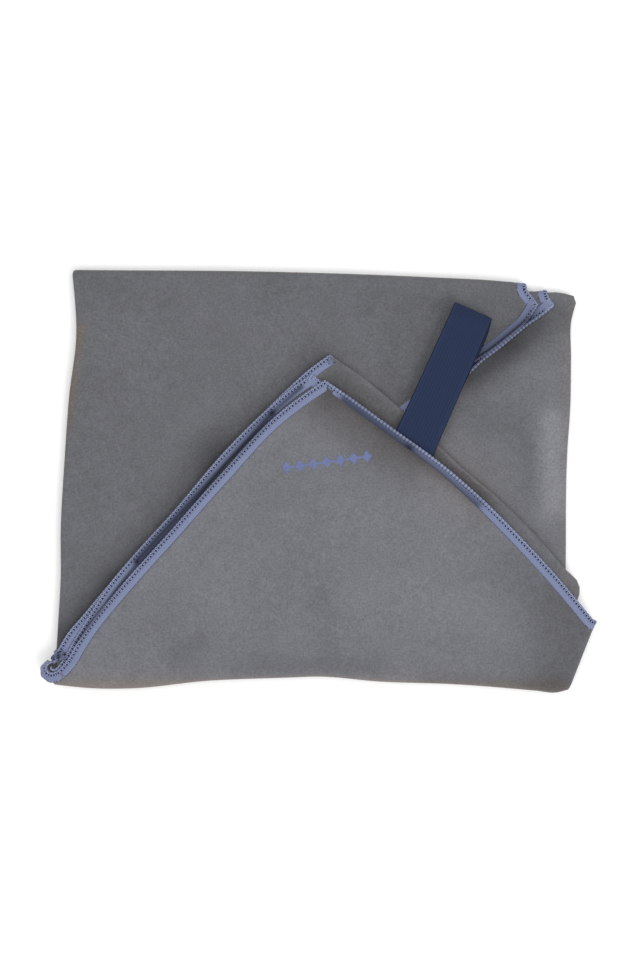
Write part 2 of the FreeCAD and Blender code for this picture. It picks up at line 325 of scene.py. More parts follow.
def make_object(name, points_mm, faces, materials, face_material=None, attributes=None):
    """A smooth-shaded mesh object from points in millimetres."""
    mesh = bpy.data.meshes.new(name)
    mesh.from_pydata((np.asarray(points_mm) * MM).tolist(), [], np.asarray(faces).tolist())
    for material in materials:
        mesh.materials.append(material)
    if face_material is not None:
        mesh.polygons.foreach_set("material_index", np.asarray(face_material, np.int32))
    for key, values in (attributes or {}).items():
        mesh.attributes.new(key, "FLOAT", "POINT").data.foreach_set("value", np.asarray(values, np.float32))
    mesh.shade_smooth()
    made = bpy.data.objects.new(name, mesh)
    bpy.context.scene.collection.objects.link(made)
    return made


# ---- the folded cloth

def ripple_set():
    """Directions, wave numbers and phases of the gentle ripples, the same each run."""
    rng = np.random.default_rng(RNG_SEED)
    turn = rng.uniform(0, np.pi, RIPPLES)
    wave = 2 * np.pi / rng.uniform(*RIPPLE_WAVES, RIPPLES)
    return np.cos(turn) * wave, np.sin(turn) * wave, rng.uniform(0, 2 * np.pi, RIPPLES)


RIPPLE_X, RIPPLE_Y, RIPPLE_PHASE = ripple_set()


def lifted(points):
    """Points of the flat stack moved up by the soft relief, which grows with height."""
    x, y, z = points[..., 0], points[..., 1], points[..., 2]
    height = np.zeros(x.shape)
    for cx, cy, rx, ry, rise in SWELLS:
        height += rise * np.exp(-((x - cx) / rx) ** 2 - ((y - cy) / ry) ** 2)
    for kx, ky, phase in zip(RIPPLE_X, RIPPLE_Y, RIPPLE_PHASE):
        height += RIPPLE_HEIGHT * np.sin(kx * x + ky * y + phase)
    moved = np.array(points, float)
    moved[..., 2] += height * np.clip(z / FLAP_TOP, 0, MOST_RELIEF)
    return moved


def snapped(points, share, layer):
    """Plan points with the first column on the left edge, and for the pair the last on the right."""
    moved = np.array(points, float)
    first, last = moved[..., :1, :], moved[..., -1:, :]
    to_left = value_at(LEFT_EDGE, first[..., 1]) + SIDE_BULGE - first[..., 0]
    to_right = value_at(RIGHT_EDGE, last[..., 1]) - SIDE_BULGE / 2 - last[..., 0]
    if layer in ("outer", "inner"):
        to_right = 0
    moved[..., 0] += to_left * (1 - share) ** 3 + to_right * share**3
    return moved


def line_between(points, x0, x1, share):
    """Points along a line given as (x, y), from x0 to x1."""
    x = mix(x0, x1, share)
    return np.stack([x, value_at(points, x)], axis=-1)


def ruled(start, end, rows):
    """Rows of straight columns from start to end."""
    share = np.linspace(0, 1, rows)[:, None, None]
    return mix(start[None], end[None], share)


def at_height(plan, z):
    """Plan points with a height."""
    return np.concatenate([plan, np.full(plan.shape[:-1] + (1,), float(z))], axis=-1)


def half_turn(base, centre_z, radius, outward, angles):
    """Rows that turn about the base line, bulging towards outward."""
    rows = []
    for angle in angles:
        row = at_height(base, centre_z + radius * np.sin(angle))
        row[:, 1] += outward * radius * FOLD_FLAT * np.cos(angle)
        rows.append(row)
    return np.array(rows)


def end_columns(layer):
    """Shares across a layer of its columns, with one exactly at its flap's corner."""
    end, side = FLAP_ENDS["two" if layer == "one" else layer]
    corner = (end[-1][0] - end[0][0]) / (side[-1][0] - end[0][0])
    before = round(corner * (COLUMNS - 1))
    first = np.linspace(0, corner, before + 1)
    return np.r_[first, np.linspace(corner, 1, COLUMNS - before)[1:]], before


def edge_distance(panel):
    """How far each point lies inside the panel's last row, and the way inward square to that row."""
    edge = panel[-1, :, :2]
    along = unit(np.gradient(edge, axis=0))
    inward = np.stack([along[:, 1], -along[:, 0]], axis=-1)
    inward *= np.sign(((panel[-2, :, :2] - edge) * inward).sum(1))[:, None]
    return np.maximum(((panel[..., :2] - edge) * inward).sum(-1), 0), inward


def curled(panel, turns):
    """A panel whose last hem curls up in an arc, through this angle at each column."""
    distance, inward = edge_distance(panel)
    reach = np.clip(EDGING_WIDTH - distance, 0, None)
    bend = np.maximum(turns, LEAST_TURN) / EDGING_WIDTH
    drawn_in = reach - np.sin(bend * reach) / bend
    let_out = (EDGING_WIDTH - np.sin(bend * EDGING_WIDTH) / bend) * np.exp(-((distance / CURL_EASE) ** 2))
    moved = panel.copy()
    moved[..., :2] += inward * (drawn_in - let_out)[..., None]
    moved[..., 2] += (1 - np.cos(bend * reach)) / bend
    return moved


def curl_along(edge, turns):
    """The curl at each column of a hem, from (x, angle) points."""
    return np.interp(edge[:, 0], *zip(*turns))


def stack_layer(layer):
    """One layer from its end in the front panel, over the top fold, down the back panel."""
    share, _ = end_columns(layer)
    level = LEVEL[layer]
    fold_line = OUTER_TOP_FOLD if layer == "outer" else TOP_FOLD
    top = snapped(line_between(fold_line, TOP_LEFT_X, TOP_RIGHT_X[layer], share), share, layer)
    bottom = snapped(line_between(ROLL, BACK_LEFT_X, BACK_RIGHT_X[layer], share), share, layer)
    front_end = curve_through(FRONT_ENDS[layer], share)
    front = ruled(front_end, top, PANEL_ROWS)
    front[:-1] = snapped(front[:-1], share, layer)
    back = ruled(top, bottom, PANEL_ROWS)
    back[1:] = snapped(back[1:], share, layer)
    angles = np.linspace(np.pi / 2, -np.pi / 2, FOLD_ROWS)[1:-1]
    fold = half_turn(top, FRONT_TOP / 2, FRONT_TOP / 2 - level, 1, angles)
    front = at_height(front, FRONT_TOP - level)
    if layer in FRONT_CURL:
        front = curled(front[::-1], curl_along(front[0], FRONT_CURL[layer]))[::-1]
    return np.concatenate([front, fold, at_height(back, level)])


def flap_layer(layer, seam):
    """One layer from the seam, round the bottom roll and up the flap to its end."""
    share, corner = end_columns(layer)
    level = LEVEL[layer]
    end, side = FLAP_ENDS[layer]
    tip = curve_through(end, share[: corner + 1] / share[corner])
    rest = curve_through(side, (share[corner + 1:] - share[corner]) / (1 - share[corner]))
    angles = np.linspace(-np.pi / 2, np.pi / 2, FOLD_ROWS)
    roll = half_turn(seam, FLAP_TOP / 2, FLAP_TOP / 2 - level, -1, angles)
    panel = at_height(ruled(seam, np.r_[tip, rest], PANEL_ROWS), FLAP_TOP - level)
    distance, _ = edge_distance(panel)
    near_end = np.sin(np.pi * np.clip(share / share[corner], 0, 1)) ** END_RISE_FULLNESS
    panel[..., 2] += END_RISE[layer] * near_end * np.exp(-((distance / END_RISE_REACH) ** 2))
    near_side = np.clip((share - share[corner]) / FOLD_PUFF_START, 0, 1)
    panel[..., 2] += FOLD_PUFF[layer] * near_side * np.exp(-((distance / FOLD_PUFF_REACH) ** 2))
    if layer == "outer":
        panel = curled(panel, np.where(share > share[corner], curl_along(panel[-1], SIDE_CURL), 0))
    return np.concatenate([roll, panel[1:]])


def arc_strip(first, second, outward):
    """Columns of a half round strip that joins two lines of points."""
    middle, half = (first + second) / 2, (first - second) / 2
    radius = np.linalg.norm(half, axis=1, keepdims=True)
    turns = np.linspace(0, np.pi, ARC_STEPS + 1)
    columns = [middle + half * np.cos(turn) + outward * radius * np.sin(turn) for turn in turns]
    return np.stack(columns, axis=1)


def curled_strip(first, second, curl):
    """The strip at the flap's tip: a half round by the roll that opens into the curl at the hem."""
    strip = arc_strip(first, second, LEFT)
    end = curve_through(curl, np.linspace(0, 1, ARC_STEPS + 1))
    share = np.r_[np.zeros(FOLD_ROWS - 1), np.linspace(0, 1, PANEL_ROWS)]
    strip[FOLD_ROWS - 1:] = mix(strip[FOLD_ROWS - 1][None], end[None], share[FOLD_ROWS - 1:, None, None])
    return strip


def side_lip(flap):
    """Columns that turn the flap's right edge under."""
    edge = flap["outer"][:, -1]
    outward = unit(LIP_OUTWARD)
    down = unit((flap["inner"][:, -1] - edge) * [0, 1, 1])
    size = np.clip(np.linspace(-1, 1, FOLD_ROWS), 0, 1)
    size = np.r_[size, np.ones(len(edge) - FOLD_ROWS)][:, None] * LIP_RADIUS
    turns = np.linspace(0, LIP_TURN, LIP_COLUMNS)
    columns = [edge + outward * size * np.sin(t) + down * size * (1 - np.cos(t)) for t in turns]
    return np.stack(columns, axis=1)


def side_fold_strip(flap):
    """The fold at the flap's right side, from layer two up to layer one."""
    corner = end_columns("two")[1]
    upper, lower = flap["one"][-1, corner:], flap["two"][-1, corner:]
    along = unit(np.gradient(lower, axis=0))
    return arc_strip(lower, upper, np.stack([-along[:, 1], along[:, 0], 0 * along[:, 0]], axis=1))


def folded_shape():
    """Grids of the folded cloth: its layers in the stack and the flap, and the flap's curls, fold and lip."""
    stack = {layer: stack_layer(layer) for layer in LEVEL}
    flap = {layer: flap_layer(layer, stack[layer][-1, :, :2]) for layer in LEVEL}
    curls = (curled_strip(flap["outer"][:, 0], flap["two"][:, 0], OUTER_CURL),
             curled_strip(flap["inner"][:, 0], flap["one"][:, 0], INNER_CURL))
    return {"stack": stack, "flap": flap, "curls": curls, "side_fold": side_fold_strip(flap),
            "lip": side_lip(flap)}


def stroked(points, base, strokes):
    """A base value at each point, raised or lowered by these strokes."""
    shade = np.full(points.shape[:-1], base, float)
    for x0, y0, x1, y1, radius, change in strokes:
        start, run = np.array([x0, y0]), np.array([x1 - x0, y1 - y0])
        share = np.clip(((points[..., :2] - start) @ run) / (run @ run), 0, 1)
        away = np.linalg.norm(points[..., :2] - start - share[..., None] * run, axis=-1)
        shade *= 1 + change * np.exp(-((away / radius) ** 2))
    return shade


def weld(made):
    """Joins the patches of a cloth along their shared lines, with all faces turned one way."""
    mesh = bmesh.new()
    mesh.from_mesh(made.data)
    bmesh.ops.remove_doubles(mesh, verts=mesh.verts, dist=WELD_GAP * MM)
    bmesh.ops.recalc_face_normals(mesh, faces=mesh.faces)
    mesh.to_mesh(made.data)
    mesh.free()


def cloth_object(name, patches, material):
    """One welded sheet from (grid of points, nap, strokes) patches, with the cloth's thickness."""
    points, faces, nap_and_shade_values, warmths, count = [], [], [], [], 0
    for grid, nap_and_shade, strokes in patches:
        faces.append(grid_faces(grid.shape[0], grid.shape[1], count))
        points.append(grid.reshape(-1, 3))
        # The strokes paint shade into the cloth's colour beside and under the hems.
        nap_and_shade_values.append(stroked(grid, nap_and_shade, strokes).ravel())
        warmths.append(1 - stroked(grid, 1, WARM_STROKES).ravel())
        count += grid.shape[0] * grid.shape[1]
    made = make_object(name, lifted(np.concatenate(points)), np.concatenate(faces), [material],
                       attributes={"nap_and_shade": np.concatenate(nap_and_shade_values), "warmth": np.concatenate(warmths)})
    weld(made)
    made.data.shade_smooth()
    thickness = made.modifiers.new("thickness", "SOLIDIFY")
    thickness.thickness = CLOTH_THICK * MM
    thickness.offset = 0
    return made


def stack_patches(stack):
    """The stack's layers and side folds, as (grid, nap, strokes)."""
    grids = [(stack["outer"], "stack_outer"), (stack["inner"], "stack_inner"), (stack["one"], "stack_pair"),
             (stack["two"], "stack_pair"),
             (arc_strip(stack["outer"][:, 0], stack["two"][:, 0], LEFT), "stack_outer"),
             (arc_strip(stack["inner"][:, 0], stack["one"][:, 0], LEFT), "stack_inner"),
             (arc_strip(stack["two"][:, -1], stack["one"][:, -1], RIGHT), "stack_pair")]
    return [(grid, NAP[face], STACK_STROKES) for grid, face in grids]


def flap_patches(shape):
    """The flap's layers, tip curls, folds and lip, as (grid, nap, strokes)."""
    flap, curls = shape["flap"], shape["curls"]
    right_fold = arc_strip(flap["two"][:, -1], flap["one"][:, -1], RIGHT)
    grids = [(flap["outer"], "flap_outer", FLAP_STROKES), (flap["inner"], "flap_inner", FLAP_STROKES),
             (flap["one"], "flap_pair", PAIR_STROKES), (flap["two"], "flap_pair", ()),
             (curls[0], "flap_outer", FLAP_STROKES), (curls[1], "flap_inner", FLAP_STROKES),
             (right_fold, "flap_pair", ()), (shape["side_fold"], "flap_pair", ()),
             (shape["lip"], "flap_outer", FLAP_STROKES)]
    return [(grid, NAP[face], strokes) for grid, face, strokes in grids]


# ---- overlock edging

def resampled(lines, step):
    """Matching rows of values at even steps along the first line."""
    along = np.r_[0, np.cumsum(np.linalg.norm(np.diff(lines[0], axis=0), axis=1))]
    count = max(int(round(along[-1] / step)), 2)
    at = np.linspace(0, along[-1], count + 1)
    return [np.stack([np.interp(at, along, column) for column in line.T], axis=1) for line in lines]


def edge_frames(edge, inside, turns, step):
    """Even points along a cloth edge, with the ways along it, inward and out, and how it curls."""
    keep = np.r_[True, np.linalg.norm(np.diff(edge, axis=0), axis=1) > SHORTEST_STEP]
    edge, inside, turns = resampled([edge[keep], inside[keep], turns[keep, None]], step)
    along = unit(np.gradient(edge, axis=0))
    chord = inside - edge
    chord -= (chord * along).sum(1, keepdims=True) * along
    length = np.linalg.norm(chord, axis=1, keepdims=True)
    inward = chord / length
    out = np.cross(along, inward)
    bend = turns / EDGING_WIDTH * np.sign(out[:, 2:])
    half = bend * length / 2
    inward, out = inward * np.cos(half) - out * np.sin(half), out * np.cos(half) + inward * np.sin(half)
    return edge, along, inward, out, bend


def placed(frames, along_by, inward_by, out_by):
    """Points at these distances along, inward (following the curl) and out from the edge's points."""
    edge, along, inward, out, bend = (a[:, None] for a in frames)
    bend = np.where(np.abs(bend) < FLATTEST_BEND, FLATTEST_BEND, bend)
    angle = bend * inward_by[..., None]
    across = np.sin(angle) / bend - out_by[..., None] * np.sin(angle)
    up = (1 - np.cos(angle)) / bend + out_by[..., None] * np.cos(angle)
    return edge + along * along_by[..., None] + inward * across + out * up


def band_points(frames, section, ridges, ridge, scallop, spread):
    """Points of a closed band, with this half section on both faces of the cloth, ridged by its threads."""
    half = np.array(section)
    whole = np.concatenate([half, half[::-1] * [1, -1]])
    phase = np.arange(len(frames[0]))[:, None] / STEPS_PER_STITCH * ridges
    wave = np.cos(2 * np.pi * phase)
    inward_by = whole[None, :, 0] + scallop * wave * (whole[None, :, 0] > EDGING_WIDTH - SCALLOP_DEPTH)
    stand = np.clip(np.abs(frames[-1]) * EDGING_WIDTH / FULL_CURL, 0, 1)
    ridge = ridge + RIM_RIDGE * spread * stand
    height = whole[None, :, 1] * (1 + ridge * (wave - 1) / 2) * (1 + spread * stand)
    return placed(frames, np.zeros_like(height), inward_by, height)


def tube(rings, capped=False):
    """A tube's points and quads; a cap joins the first half of the end ring to the second."""
    rows, ring = rings.shape[:2]
    r, c = np.meshgrid(np.arange(rows - 1) * ring, np.arange(ring), indexing="ij")
    following = (c + 1) % ring
    faces = np.stack([r + c, r + following, r + ring + following, r + ring + c], axis=-1).reshape(-1, 4)
    if capped:
        j = np.arange(ring // 2 - 1)
        cap = np.stack([j, ring - 1 - j, ring - 2 - j, j + 1], axis=1)
        faces = np.concatenate([faces, cap, cap[:, ::-1] + (rows - 1) * ring])
    return rings.reshape(-1, 3), faces


def purl_loop():
    """One purl loop as (along, inward, out) points: a thread arch over the cloth's edge."""
    turn = np.linspace(0, np.pi, PURL_STEPS)
    inward = PURL_ROOT - PURL_REACH * np.sin(turn) ** PURL_FULLNESS
    line = np.stack([-PURL_HALF_PITCH * np.cos(turn), inward, PURL_HEIGHT - PURL_DIP * np.sin(turn)], axis=1)
    ahead = unit(np.gradient(line, axis=0))
    side = unit(np.cross(ahead, [0, 0, 1.0]))
    up = np.cross(side, ahead)
    around = np.linspace(0, 2 * np.pi, PURL_SIDES, endpoint=False)
    ring = side[:, None] * np.cos(around)[None, :, None] + up[:, None] * np.sin(around)[None, :, None]
    return line[:, None] + ring * LOOP_THREAD


def purl_row(frames):
    """Purl loops at every stitch on both faces of the edge."""
    stitches = [a[STEPS_PER_STITCH // 2::STEPS_PER_STITCH] for a in frames]
    loop, faces = tube(purl_loop())
    both = np.concatenate([loop, loop * [1, 1, -1]])
    faces = np.concatenate([faces, faces[:, ::-1] + len(loop)])
    points = placed(stitches, *(np.tile(values, (len(stitches[0]), 1)) for values in both.T))
    shifts = np.arange(len(stitches[0])) * len(both)
    return points.reshape(-1, 3), (faces[None] + shifts[:, None, None]).reshape(-1, 4)


def shade_of(points, strokes, lowest):
    """How much painted shade darkens the thread: these strokes, only on points above the relief at this
    height.
    """
    level = lifted(np.c_[points[:, :2], np.full(len(points), lowest)])[:, 2]
    return np.where(points[:, 2] > level, stroked(points, 1, strokes), 1)


def edging_object(name, edges, materials, strokes, lowest):
    """The stitching along several cloth edges: a satin band, a dark core of painted shade and purl loops."""
    points, faces, kinds, shades, count = [], [], [], [], 0
    for edge, inside, turns in edges:
        frames = edge_frames(lifted(edge), lifted(inside), turns, STITCH / STEPS_PER_STITCH)
        parts = [(kind, tube(band_points(frames, *section), capped=True)) for kind, *section in BANDS]
        parts.append((PURL, purl_row(frames)))
        for kind, (some_points, some_faces) in parts:
            points.append(some_points)
            faces.append(some_faces + count)
            kinds.append(np.full(len(some_faces), kind))
            shades.append(shade_of(some_points, strokes, lowest))
            count += len(some_points)
    points = np.concatenate(points)
    points[:, 2] = np.maximum(points[:, 2], REST_GAP)
    return make_object(name, points, np.concatenate(faces), materials, np.concatenate(kinds),
                       attributes={"shade": np.concatenate(shades)})


def turned_over(edge, inside, centre):
    """Inside points of a curl in an edge, where the cloth drops away round its outside."""
    share = np.linspace(0, 1, len(edge))[:, None]
    away = unit((edge - [*centre, 0]) * [1, 1, 0])
    drop = np.interp(share, *CURL_DROP)
    fallen = away * np.cos(drop) - np.sin(drop) * [0, 0, 1]
    fallen = mix(fallen, np.array(CURL_TAIL), np.clip((share - TAIL_START) / TAIL_LENGTH, 0, 1))
    level_start = unit((inside - edge) * [1, 1, 0]) + [0, 0, CURL_START_RISE]
    true_way = np.where(share < 0.5, level_start, unit(inside - edge))
    weight = np.clip(np.minimum(share / CURL_IN, (1 - share) / CURL_OUT), 0, 1)
    return edge + mix(true_way, fallen, weight)


def to_corner(grid, last, backwards):
    """A layer's columns up to its corner, in the order in which the chain meets them."""
    picked = grid[:, : last + 1]
    return picked[:, ::-1] if backwards else picked


def chain_edge(layers, curls, bridge, row, turns=None):
    """The end of the whole cloth through its four layers: its edge, the points inside and the curl."""
    beside = -2 if row == -1 else 1
    corner = {name: (end_columns(name)[1] if row == -1 else COLUMNS - 1) for name in LEVEL}
    chain = [to_corner(layers["outer"], corner["outer"], True), curls[0],
             to_corner(layers["two"], corner["two"], False), bridge,
             to_corner(layers["one"], corner["one"], True), curls[1][:, ::-1],
             to_corner(layers["inner"], corner["inner"], False)]
    edge = np.concatenate([grid[row] for grid in chain])
    insides = [grid[beside] for grid in chain]
    curl = np.zeros(len(edge))
    if turns:
        first, last = chain[0].shape[1], chain[-1].shape[1]
        curl[:first] = curl_along(edge[:first], turns["outer"])
        curl[-last:] = curl_along(edge[-last:], turns["inner"])
    else:
        insides[1] = turned_over(chain[1][row], insides[1], CURL_CENTRES["outer"])
        insides[5] = turned_over(chain[5][row], insides[5], CURL_CENTRES["inner"])
    return edge, np.concatenate(insides), curl


def plain_edge(edge, inside):
    """An edge that lies flat."""
    return edge, inside, np.zeros(len(edge))


def stack_edges(stack):
    """The hems that stay with the stack: the front panel's ends and the free right sides."""
    curls = (arc_strip(stack["outer"][:, 0], stack["two"][:, 0], LEFT),
             arc_strip(stack["one"][:, 0], stack["inner"][:, 0], LEFT)[:, ::-1])
    bridge = arc_strip(stack["two"][:, -1], stack["one"][:, -1], RIGHT)
    sides = [plain_edge(stack[layer][:, -1], stack[layer][:, -2]) for layer in ("outer", "inner")]
    return [chain_edge(stack, curls, bridge, 0, FRONT_CURL), *sides]


def flap_edges(shape):
    """The hems that go with the flap: its ends, the side with the lip, and the side hidden under it."""
    flap, lip = shape["flap"], shape["lip"]
    corner = {layer: end_columns(layer)[1] for layer in LEVEL}
    across = np.linspace(0, 1, ARC_STEPS + 1)[:, None]
    inside = mix(flap["two"][-2, corner["two"]], flap["one"][-2, corner["two"]], across)
    ends = chain_edge(flap, shape["curls"], np.stack([inside, shape["side_fold"][0]]), -1)
    side = np.r_[flap["outer"][-1, corner["outer"]:], lip[-1, 1:]]
    inside_side = np.r_[flap["outer"][-2, corner["outer"]:], lip[-2, 1:]]
    side_curl = curl_along(side, SIDE_CURL)
    side_curl[0] = 0
    hidden = plain_edge(flap["inner"][-1, corner["inner"]:], flap["inner"][-2, corner["inner"]:])
    return [ends, (side, inside_side, side_curl), hidden]


# ---- hanging loop and print

def strap_section():
    """The band's section: shares across it, and heights from its middle."""
    across = np.linspace(-1, 1, STRAP_RIBS * RIB_STEPS + 1)
    rib = STRAP_RIB_HEIGHT * np.abs(np.sin(across * np.pi * STRAP_RIBS / 2)) ** RIB_FULLNESS
    height = STRAP_THICK / 2 - STRAP_RIB_HEIGHT + rib
    return np.r_[across, across[::-1]], np.r_[height, -height[::-1]]


def build_strap(material):
    """The doubled elastic band, ribbed along its length."""
    line = curve_through(STRAP_LINE, np.linspace(0, 1, STRAP_ROWS))
    ahead = unit(np.gradient(line, axis=0))
    normal = np.stack([-ahead[:, 1], ahead[:, 0]], axis=1)
    shares, heights = strap_section()
    reach = np.clip(line[:, 0] / STRAP_REACH, 0, 1)
    lower_leg = np.arange(len(line)) < len(line) / 2
    shift = np.where(lower_leg, LOWER_LEG_SHIFT, 0.0) * np.sin(np.pi * reach**4)
    across = mix(*STRAP_HALF_WIDTH, reach)[:, None] * shares + shift[:, None]
    along = line[:, 0, None] + normal[:, 0, None] * heights
    z = line[:, 1, None] + normal[:, 1, None] * heights
    along -= np.clip(1 - along / HEM_SLANT_REACH, 0, 1) * across * HEM_SLANT
    ux, uy = STRAP_DIRECTION
    x = STRAP_ROOT[0] + along * ux + across * uy
    y = STRAP_ROOT[1] + along * uy - across * ux
    points, faces = tube(np.stack([x, y, z], axis=-1), capped=True)
    return make_object("hanging_loop_strap", points, faces, [material],
                       attributes={"across": np.tile(shares, len(line)),
                                   "along": np.repeat(np.linspace(0, 1, len(line)), len(shares))})


def lozenge_grid(cx, width, height):
    """A lozenge as a grid of points."""
    share = np.linspace(0, 1, LOZENGE_CELLS)
    u, v = np.meshgrid(share, share, indexing="ij")
    return np.stack([cx + (u - v) * width / 2, (u + v - 1) * height / 2], axis=-1)


def surface_height(grid, plan):
    """Heights of a surface at plan points, from the surface's nearest points."""
    away = np.linalg.norm(grid[None, :, :2] - plan[:, None], axis=-1)
    nearest = np.argsort(away, axis=1)[:, :NEAREST]
    weight = 1 / (np.take_along_axis(away, nearest, 1) + TOUCHING) ** 2
    return (grid[nearest, 2] * weight).sum(1) / weight.sum(1)


def build_print(flap_top, material):
    """A thin printed film of a bar with lozenges, lying on the flap."""
    bar = (np.linspace(-0.5, 0.5, cells) * size for cells, size in zip(BAR_CELLS, (PRINT_LENGTH, PRINT_BAR)))
    grids = [np.stack(np.meshgrid(*bar, indexing="ij"), axis=-1)]
    reach = (PRINT_LENGTH - LOZENGE_SIZE[0]) / 2
    grids += [lozenge_grid(cx, *LOZENGE_SIZE) for cx in np.linspace(-reach, reach, LOZENGES)]
    lifts = [PRINT_LIFT] + [LOZENGE_LIFT] * LOZENGES
    cos, sin = np.cos(PRINT_TURN), np.sin(PRINT_TURN)
    near_print = np.linalg.norm(flap_top[:, :2] - PRINT_CENTRE, axis=1) < PRINT_LENGTH
    points, faces, count = [], [], 0
    for grid, lift in zip(grids, lifts):
        plan = (grid @ [[cos, sin], [-sin, cos]] + PRINT_CENTRE).reshape(-1, 2)
        points.append(np.c_[plan, surface_height(flap_top[near_print], plan) + CLOTH_THICK / 2 + lift])
        faces.append(grid_faces(*grid.shape[:2], count))
        count += len(plan)
    return make_object("corner_print_film", np.concatenate(points), np.concatenate(faces), [material])


# ---- materials

def new_material(name):
    """An empty node material and its Principled shader."""
    material = bpy.data.materials.new(name)
    material.use_nodes = True
    tree = material.node_tree
    return material, tree.nodes, tree.links, tree.nodes["Principled BSDF"]


def noise(nodes, links, scale, detail):
    """Object-space noise; scale is in repeats per metre."""
    where = nodes.new("ShaderNodeTexCoord")
    texture = nodes.new("ShaderNodeTexNoise")
    texture.inputs["Scale"].default_value = scale
    texture.inputs["Detail"].default_value = detail
    links.new(where.outputs["Object"], texture.inputs["Vector"])
    return texture.outputs["Fac"]


def attribute(nodes, name):
    """The value of one of the mesh's attributes."""
    node = nodes.new("ShaderNodeAttribute")
    node.attribute_name = name
    return node.outputs["Fac"]


def math_node(nodes, links, operation, first, second):
    """One arithmetic node; an input is a socket or a number."""
    node = nodes.new("ShaderNodeMath")
    node.operation = operation
    for slot, value in enumerate((first, second)):
        if isinstance(value, (int, float)):
            node.inputs[slot].default_value = value
        else:
            links.new(value, node.inputs[slot])
    return node.outputs[0]


def near_value(nodes, links, value, target, width):
    """1 where a value lies within width of the target, and 0 elsewhere."""
    result = math_node(nodes, links, "COMPARE", value, target)
    result.node.inputs[2].default_value = width
    return result


def around_one(nodes, links, value, amount):
    """A 0 to 1 value turned into a factor that varies by amount about 1."""
    centred = math_node(nodes, links, "SUBTRACT", value, 0.5)
    return math_node(nodes, links, "ADD", math_node(nodes, links, "MULTIPLY", centred, 2 * amount), 1.0)


def tinted(nodes, links, colour, factor):
    """A colour times a factor socket."""
    scale = nodes.new("ShaderNodeVectorMath")
    scale.operation = "SCALE"
    scale.inputs[0].default_value = colour
    links.new(factor, scale.inputs["Scale"])
    return scale.outputs["Vector"]


def add_bump(nodes, links, shader, height, distance, strength):
    """Fine relief from a height socket."""
    bump = nodes.new("ShaderNodeBump")
    bump.inputs["Distance"].default_value = distance
    bump.inputs["Strength"].default_value = strength
    links.new(height, bump.inputs["Height"])
    links.new(bump.outputs["Normal"], shader.inputs["Normal"])


def warmed(nodes, links, shader):
    """Warms the shader's base colour where the cloth turns sideways; gives the socket for the colour."""
    geometry = nodes.new("ShaderNodeNewGeometry")
    split = nodes.new("ShaderNodeSeparateXYZ")
    links.new(geometry.outputs["Normal"], split.inputs[0])
    upright = math_node(nodes, links, "ABSOLUTE", split.outputs["Z"], 0.0)
    sideways = math_node(nodes, links, "SUBTRACT", WARM_BELOW, upright)
    sideways = math_node(nodes, links, "MAXIMUM", sideways, 0.0)
    warmth = math_node(nodes, links, "ADD", sideways, attribute(nodes, "warmth"))
    blend = nodes.new("ShaderNodeMix")
    blend.data_type = "RGBA"
    blend.blend_type = "MULTIPLY"
    blend.clamp_factor = True
    blend.inputs["B"].default_value = WARM_TINT
    links.new(warmth, blend.inputs["Factor"])
    links.new(blend.outputs["Result"], shader.inputs["Base Color"])
    return blend.inputs["A"]


def cloth_material():
    """Grey suede microfibre: a mottled brushed face, fine fibre speckle and a soft sheen, and the strokes'
    painted shade.
    """
    material, nodes, links, shader = new_material("microfibre_suede")
    # Painted shade: this value holds the strokes' shade beside and under the hems, and scales the base
    # colour.
    factor = attribute(nodes, "nap_and_shade")
    for scale, detail, variation in CLOTH_MOTTLE:
        mottle = around_one(nodes, links, noise(nodes, links, scale, detail), variation)
        factor = math_node(nodes, links, "MULTIPLY", factor, mottle)
    links.new(tinted(nodes, links, CLOTH_COLOUR, factor), warmed(nodes, links, shader))
    shader.inputs["Roughness"].default_value = 0.95
    shader.inputs["Specular IOR Level"].default_value = 0.15
    shader.inputs["Sheen Weight"].default_value = 0.12
    shader.inputs["Sheen Roughness"].default_value = 0.6
    add_bump(nodes, links, shader, noise(nodes, links, *CLOTH_FIBRE), *CLOTH_BUMP)
    return material


def thread_material(name, colour, speckle, roughness):
    """Polyester thread: a fine twist and a soft shine; painted shade from its shade attribute dims both."""
    material, nodes, links, shader = new_material(name)
    shade = attribute(nodes, "shade")
    twist = around_one(nodes, links, noise(nodes, links, *THREAD_TWIST), speckle)
    twist = math_node(nodes, links, "MULTIPLY", twist, shade)
    links.new(tinted(nodes, links, colour, twist), shader.inputs["Base Color"])
    shader.inputs["Roughness"].default_value = roughness
    for shine, amount in THREAD_SHINE.items():
        links.new(math_node(nodes, links, "MULTIPLY", shade, amount), shader.inputs[shine])
    add_bump(nodes, links, shader, noise(nodes, links, *THREAD_FUZZ), *THREAD_BUMP)
    return material


def elastic_material():
    """Navy woven elastic: painted shade in the rib grooves and on a dark rim, a fine cross weave and pale
    selvages.
    """
    material, nodes, links, shader = new_material("navy_elastic")
    across = attribute(nodes, "across")
    picks = math_node(nodes, links, "MULTIPLY", attribute(nodes, "along"), 2 * np.pi * ELASTIC_PICKS)
    weave = math_node(nodes, links, "SINE", picks, 0.0)
    rib_turn = math_node(nodes, links, "MULTIPLY", across, np.pi * STRAP_RIBS)
    rib = math_node(nodes, links, "COSINE", rib_turn, 0.0)
    edge = math_node(nodes, links, "ABSOLUTE", across, 0.0)
    changes = [(rib, ELASTIC_GROOVE_SHADE), (weave, ELASTIC_WEAVE)]
    for place, width, change in ELASTIC_LINES:
        changes.append((near_value(nodes, links, edge, place, width), change))
    light = around_one(nodes, links, noise(nodes, links, *ELASTIC_GRAIN), ELASTIC_SPECKLE)
    for value, change in changes:
        light = math_node(nodes, links, "ADD", light, math_node(nodes, links, "MULTIPLY", value, change))
    links.new(tinted(nodes, links, ELASTIC_COLOUR, light), shader.inputs["Base Color"])
    shader.inputs["Roughness"].default_value = 0.8
    shader.inputs["Specular IOR Level"].default_value = 0.2
    add_bump(nodes, links, shader, weave, *FINE_BUMP)
    return material


